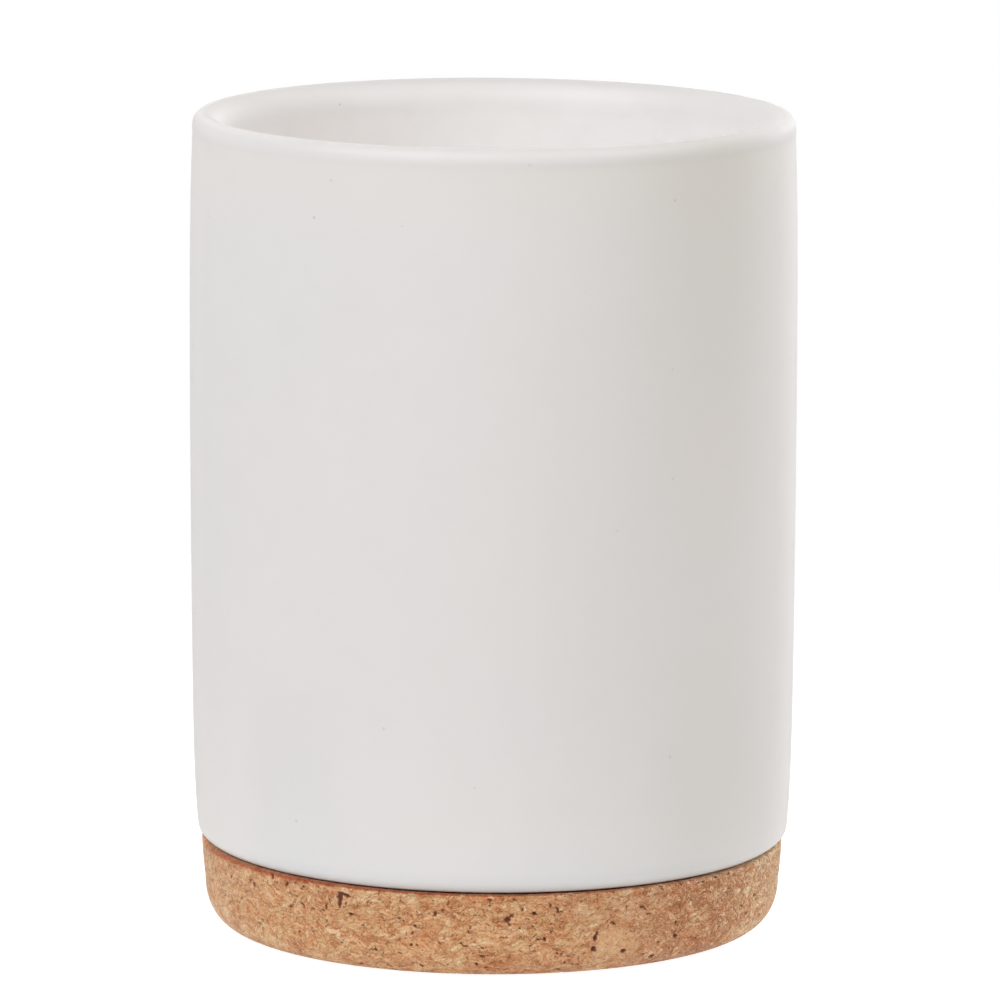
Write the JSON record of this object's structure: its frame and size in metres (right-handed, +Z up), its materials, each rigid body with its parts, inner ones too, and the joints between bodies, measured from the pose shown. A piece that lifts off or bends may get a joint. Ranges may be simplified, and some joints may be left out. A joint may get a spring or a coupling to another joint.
{
  "type": "ceramic tumbler",
  "caption": "Straight-sided white glazed ceramic bathroom tumbler with a soft rounded rim, glued into a low turned cork base with a rounded bottom edge.",
  "frame": {"origin": "centre of the flat underside of the cork base, on the cup's axis", "axes": "+Z up along the cup's axis, towards the rim; the object is round, so X and Y are free"},
  "size_m": [0.08, 0.08, 0.1081],
  "materials": {
    "glaze": "satin",
    "cork": "matte",
    "adhesive": "satin"
  },
  "bodies": {
    "root": {"ceramic_cup": "glaze", "cork_base": "cork", "adhesive_ring": "adhesive"}
  },
  "joints": []
}
